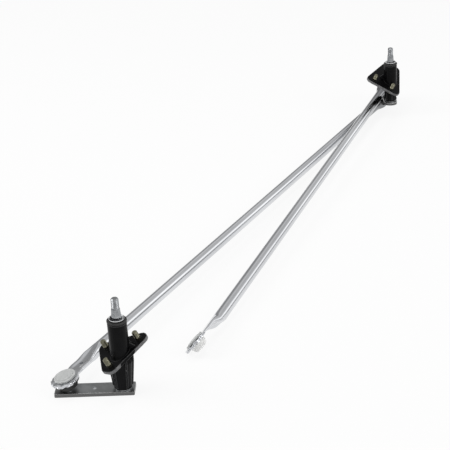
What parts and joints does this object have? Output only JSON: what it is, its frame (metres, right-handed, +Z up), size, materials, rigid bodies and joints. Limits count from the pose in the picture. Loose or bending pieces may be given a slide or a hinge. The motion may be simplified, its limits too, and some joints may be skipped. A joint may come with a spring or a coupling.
{
  "type": "windscreen wiper linkage",
  "caption": "Windscreen wiper linkage: pivot housings with threaded spindles and cranks, joined by a tubular link rod, with a motor rod on the far crank.",
  "frame": {"origin": "centre of the near spindle's flat foot, on the table that the linkage lies on", "axes": "+X from the near spindle to the far spindle, +Z up along both spindles towards their threads, +Y towards the side of the near crank's ball joint"},
  "size_m": [0.9639, 0.1176, 0.1073],
  "materials": {
    "zinc": "bright zinc plate",
    "steel": "machined, lightly oiled",
    "dark_steel": "phosphated, bare at the sheared edges",
    "black_casting": "satin black paint over a zinc die casting",
    "rubber": "matt black",
    "yellow_zinc": "yellow passivated zinc plate",
    "bronze": "sintered",
    "grey_plastic": "smooth light grey",
    "white_plastic": "smooth off-white"
  },
  "bodies": {
    "link_rod": {"link_rod": "zinc", "link_rod_near_end": "zinc", "link_rod_far_end": "zinc", "near_link_socket": "white_plastic", "near_link_cap": "grey_plastic", "near_link_boot": "rubber", "far_link_socket": "white_plastic", "far_link_cap": "grey_plastic", "far_link_boot": "rubber"},
    "near_crank_and_spindle": {"near_crank": "dark_steel", "near_spindle": "steel", "near_ball_stud": "steel", "near_thrust_washer": "steel", "near_washer": "zinc", "near_circlip": "steel"},
    "near_pivot_housing": {"near_housing": "black_casting", "near_upper_bush": "bronze", "near_lower_bush": "bronze", "near_seal_ring": "rubber", "near_fixing_stud_1": "yellow_zinc", "near_fixing_stud_2": "yellow_zinc", "near_fixing_stud_3": "yellow_zinc"},
    "far_crank_and_spindle": {"far_crank": "dark_steel", "far_spindle": "steel", "far_ball_stud": "steel", "far_thrust_washer": "steel", "far_washer": "zinc", "far_circlip": "steel"},
    "far_pivot_housing": {"far_housing": "black_casting", "far_upper_bush": "bronze", "far_lower_bush": "bronze", "far_seal_ring": "rubber", "far_fixing_stud_1": "yellow_zinc", "far_fixing_stud_2": "yellow_zinc", "far_fixing_stud_3": "yellow_zinc"},
    "motor_rod": {"motor_rod": "zinc", "motor_rod_far_end": "zinc", "motor_rod_free_end": "zinc", "far_motor_socket": "white_plastic", "far_motor_cap": "grey_plastic", "far_motor_boot": "rubber", "free_motor_socket": "white_plastic", "free_motor_cap": "grey_plastic"}
  },
  "joints": [
    {"name": "near_ball_turn", "type": "hinge", "parent": "link_rod", "child": "near_crank_and_spindle", "pos_m": [-0.023, 0.05215, 0], "axis": [0, 0, 1], "range_deg": [-60, 25]},
    {"name": "near_spindle_turn", "type": "hinge", "parent": "near_crank_and_spindle", "child": "near_pivot_housing", "pos_m": [0, 0, 0], "axis": [0, 0, 1], "continuous": true},
    {"name": "far_ball_turn", "type": "hinge", "parent": "link_rod", "child": "far_crank_and_spindle", "pos_m": [0.91224, 0.02282, 0], "axis": [0, 0, 1], "range_deg": [0, 90]},
    {"name": "far_spindle_turn", "type": "hinge", "parent": "far_crank_and_spindle", "child": "far_pivot_housing", "pos_m": [0.86001, 0, 0], "axis": [0, 0, 1], "range_deg": [-45, 45]},
    {"name": "motor_rod_turn", "type": "hinge", "parent": "link_rod", "child": "motor_rod", "pos_m": [0.91224, 0.02282, 0], "axis": [0, 0, 1], "range_deg": [-3, 1]}
  ]
}
